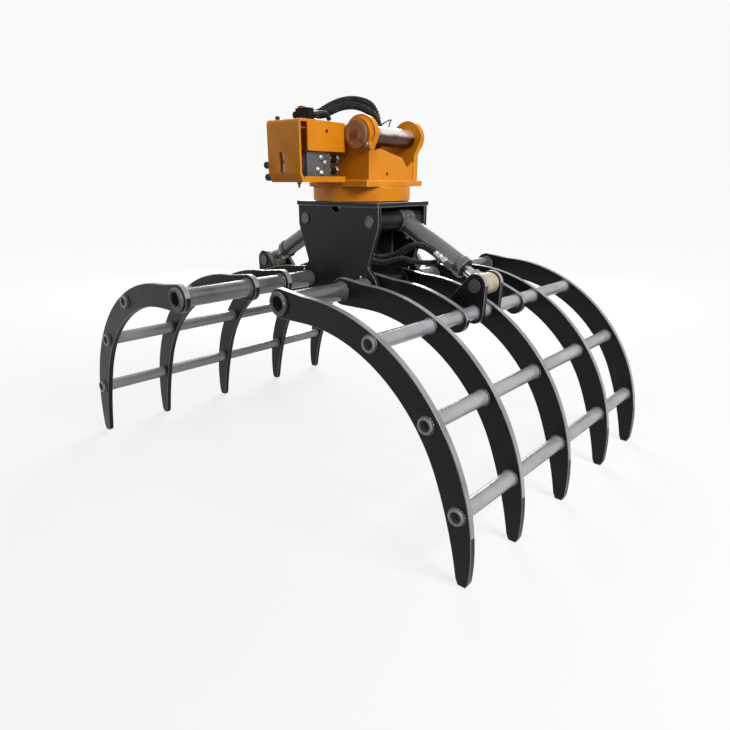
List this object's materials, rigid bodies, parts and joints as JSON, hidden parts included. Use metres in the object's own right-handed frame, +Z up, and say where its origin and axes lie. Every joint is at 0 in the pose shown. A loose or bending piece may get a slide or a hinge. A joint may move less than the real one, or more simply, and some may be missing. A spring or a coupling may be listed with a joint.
{
  "type": "grass grapple",
  "caption": "Hydraulic rotating grapple with curved tine jaws for grass, hay and brush, pinned to an excavator by a slewing head.",
  "frame": {"origin": "on the ground under the slewing axis, jaws open", "axes": "+Z up along the slewing axis, +X from one jaw towards the other, Y along the jaw pins"},
  "size_m": [2.156, 1.779, 1.6125],
  "materials": {
    "black_paint": "satin, lightly scuffed",
    "block_steel": "ground",
    "bush_bronze": "machined",
    "cap_plastic": "matte",
    "hose_rubber": "matte",
    "machined_steel": "machined",
    "motor_paint": "satin",
    "pin_steel": "machined",
    "rod_chrome": "polished",
    "yellow_paint": "satin, lightly worn"
  },
  "bodies": {
    "frame": {"cylinder_base_pins": "pin_steel", "cylinder_hose": "hose_rubber", "frame_front_plate": "black_paint", "frame_rear_plate": "black_paint", "frame_top_plate": "black_paint", "frame_webs": "black_paint", "jaw_pins": "pin_steel", "pin_spacers": "black_paint", "slew_bolts": "pin_steel", "slew_gear_ring": "machined_steel", "swivel_rotor": "machined_steel"},
    "head": {"far_ear": "yellow_paint", "front_cross_plate": "yellow_paint", "guard_box": "yellow_paint", "guard_side_panel": "yellow_paint", "head_base_plate": "yellow_paint", "head_hoses": "hose_rubber", "head_pin": "pin_steel", "hose_outlets": "cap_plastic", "near_ear": "yellow_paint", "rear_cross_plate": "yellow_paint", "slew_housing": "yellow_paint", "slew_motor": "motor_paint", "slew_outer_ring": "machined_steel", "swivel_stator": "machined_steel", "valve_block": "block_steel", "valve_fittings": "pin_steel"},
    "slew_pinion": {"slew_pinion": "machined_steel"},
    "jaw_right": {"arms_right": "black_paint", "bushes_right": "bush_bronze", "clevis_pin_right": "pin_steel", "clevis_right": "black_paint", "cross_tubes_right": "black_paint", "hub_right": "black_paint", "pivot_tubes_right": "black_paint", "tine_right_1": "black_paint", "tine_right_2": "black_paint", "tine_right_3": "black_paint", "tine_right_4": "black_paint", "tine_right_5": "black_paint"},
    "jaw_left": {"arms_left": "black_paint", "bushes_left": "bush_bronze", "clevis_left": "black_paint", "clevis_pin_left": "pin_steel", "cross_tubes_left": "black_paint", "hub_left": "black_paint", "pivot_tubes_left": "black_paint", "tine_left_1": "black_paint", "tine_left_2": "black_paint", "tine_left_3": "black_paint", "tine_left_4": "black_paint", "tine_left_5": "black_paint"},
    "barrel_right": {"barrel_right": "black_paint", "gland_right": "black_paint"},
    "barrel_left": {"barrel_left": "black_paint", "gland_left": "black_paint"},
    "rod_right": {"piston_right": "machined_steel", "rod_right": "rod_chrome"},
    "rod_left": {"piston_left": "machined_steel", "rod_left": "rod_chrome"}
  },
  "joints": [
    {"name": "rotator", "type": "hinge", "parent": "frame", "child": "head", "pos_m": [0, 0, 0], "axis": [0, 0, 1], "continuous": true},
    {"name": "pinion_spin", "type": "hinge", "parent": "head", "child": "slew_pinion", "pos_m": [-0.16443, -0.01786, 0], "axis": [0, 0, 1], "continuous": true},
    {"name": "jaw_right_swing", "type": "hinge", "parent": "frame", "child": "jaw_right", "pos_m": [0.182, 0, 0.823], "axis": [0, 1, 0], "range_deg": [0, 55]},
    {"name": "barrel_right_tilt", "type": "hinge", "parent": "frame", "child": "barrel_right", "pos_m": [0.201, 0, 1.102], "axis": [0, 1, 0], "range_deg": [0, 38.4]},
    {"name": "rod_right_slide", "type": "slide", "parent": "barrel_right", "child": "rod_right", "axis": [0.8784, 0, -0.4779], "range_m": [0, 0.2]},
    {"name": "jaw_left_swing", "type": "hinge", "parent": "frame", "child": "jaw_left", "pos_m": [-0.182, 0, 0.823], "axis": [0, -1, 0], "range_deg": [0, 55]},
    {"name": "barrel_left_tilt", "type": "hinge", "parent": "frame", "child": "barrel_left", "pos_m": [-0.201, 0, 1.102], "axis": [0, -1, 0], "range_deg": [0, 38.4]},
    {"name": "rod_left_slide", "type": "slide", "parent": "barrel_left", "child": "rod_left", "axis": [-0.8784, 0, -0.4779], "range_m": [0, 0.2]}
  ],
  "couplings": [
    {"joint": "pinion_spin", "follows": "rotator", "ratio": 4},
    {"joint": "barrel_right_tilt", "follows": "jaw_right_swing", "ratio": 0.69777},
    {"joint": "rod_right_slide", "follows": "jaw_right_swing", "m_per_rad": 0.20804},
    {"joint": "barrel_left_tilt", "follows": "jaw_left_swing", "ratio": 0.69777},
    {"joint": "rod_left_slide", "follows": "jaw_left_swing", "m_per_rad": 0.20804}
  ]
}
